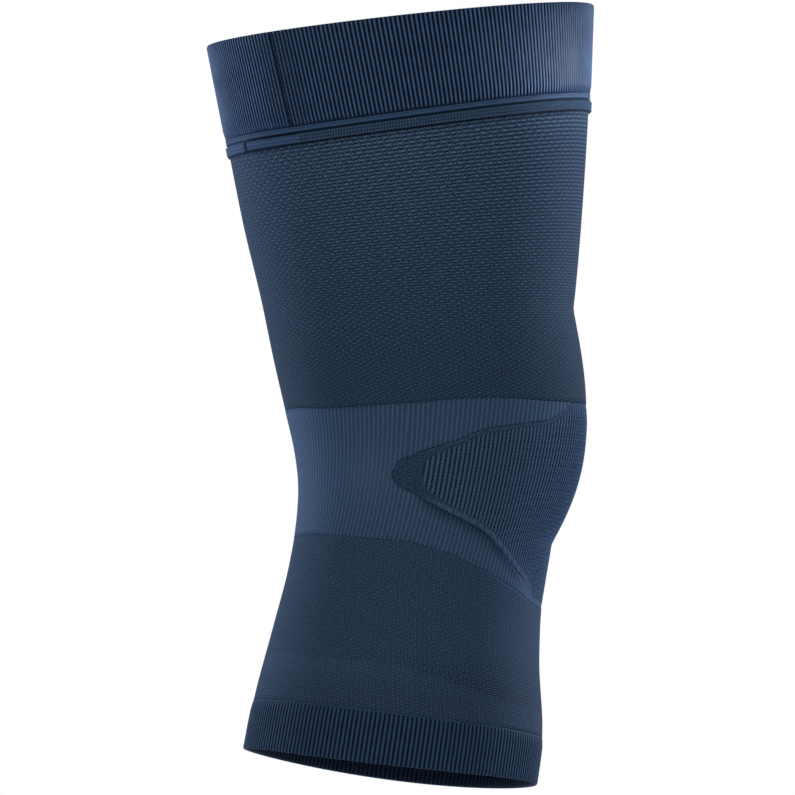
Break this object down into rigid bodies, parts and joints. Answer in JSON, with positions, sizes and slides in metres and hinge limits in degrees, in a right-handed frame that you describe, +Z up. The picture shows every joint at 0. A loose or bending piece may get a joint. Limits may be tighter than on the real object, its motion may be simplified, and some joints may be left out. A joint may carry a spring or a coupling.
{
  "type": "knee sleeve",
  "caption": "Knitted compression knee sleeve in its worn form: ribbed thigh band with taped seam, mesh knit, ribbed knee zone, pierced-rib kneecap panel and ribbed hem cuff.",
  "frame": {"origin": "middle of the knee inside the sleeve, level with the kneecap, where the leg carries it", "axes": "+Z up along the leg to the thigh band, -Y to the front of the knee, +X to the inner side of a right leg"},
  "size_m": [0.1488, 0.1574, 0.3168],
  "materials": {
    "ribbed_elastic": "navy ribbed elastic with a satin sheen on the crests",
    "seam_tape": "navy twill tape with slanted stitches",
    "mesh_knit": "navy mesh knit, open stitches",
    "rib_knit": "lighter navy fine rib knit, smooth and slightly glossy",
    "panel_knit": "dark navy pierced rib knit",
    "fine_knit": "navy fine mesh knit",
    "cuff_knit": "dark navy turned rib cuff"
  },
  "bodies": {
    "root": {"thigh_band": "ribbed_elastic", "band_seam": "seam_tape", "thigh_knit": "mesh_knit", "knee_ribs": "rib_knit", "patella_panel": "panel_knit", "calf_knit": "fine_knit", "hem_cuff": "cuff_knit"}
  },
  "joints": []
}
